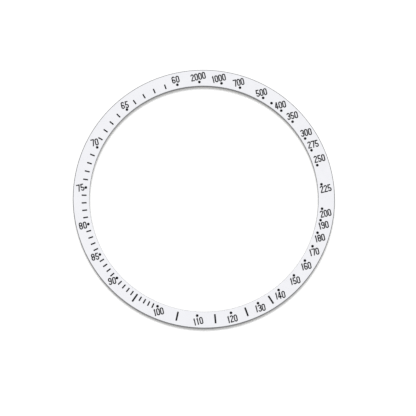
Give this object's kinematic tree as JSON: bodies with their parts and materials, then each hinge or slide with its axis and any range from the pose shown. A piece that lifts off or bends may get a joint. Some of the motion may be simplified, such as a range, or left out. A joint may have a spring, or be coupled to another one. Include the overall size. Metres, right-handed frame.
{
  "type": "watch bezel insert",
  "caption": "Flat ring-shaped watch bezel insert with a black speed scale on a white lacquered face and an adhesive ring with its release liner on the back.",
  "frame": {"origin": "centre of the back, on the release liner's lowest face, on the ring's axis", "axes": "+Z out of the face along the ring's axis, +Y through the 60 mark at the top of the scale, +X through the 240 position on the right"},
  "size_m": [0.0382, 0.0382, 0.0011],
  "materials": {
    "lacquered_metal": "satin white lacquer on the face, bare turned aluminium on the outer chamfer, side walls and back",
    "black_lacquer": "satin black lacquer fill",
    "adhesive_film": "translucent pale double-sided film",
    "liner_paper": "pale yellow coated release paper"
  },
  "bodies": {
    "root": {"insert_ring": "lacquered_metal", "scale_dot_60": "black_lacquer", "scale_dot_65": "black_lacquer", "scale_dot_70": "black_lacquer", "scale_dot_75": "black_lacquer", "scale_dot_80": "black_lacquer", "scale_dot_85": "black_lacquer", "scale_dot_90": "black_lacquer", "scale_dot_100": "black_lacquer", "scale_dot_110": "black_lacquer", "scale_dot_120": "black_lacquer", "scale_dot_130": "black_lacquer", "scale_dot_140": "black_lacquer", "scale_dot_150": "black_lacquer", "scale_dot_160": "black_lacquer", "scale_dot_170": "black_lacquer", "scale_dot_180": "black_lacquer", "scale_dot_190": "black_lacquer", "scale_dot_200": "black_lacquer", "scale_dot_225": "black_lacquer", "scale_dot_250": "black_lacquer", "scale_dot_275": "black_lacquer", "scale_dot_300": "black_lacquer", "scale_dot_350": "black_lacquer", "scale_dot_400": "black_lacquer", "scale_dot_450": "black_lacquer", "scale_dot_500": "black_lacquer", "scale_dot_700": "black_lacquer", "scale_dot_1000": "black_lacquer", "scale_dot_2000": "black_lacquer", "scale_bar_95": "black_lacquer", "scale_bar_105": "black_lacquer", "scale_bar_115": "black_lacquer", "scale_bar_125": "black_lacquer", "scale_bar_135": "black_lacquer", "adhesive_ring": "adhesive_film", "release_liner": "liner_paper"}
  },
  "joints": []
}
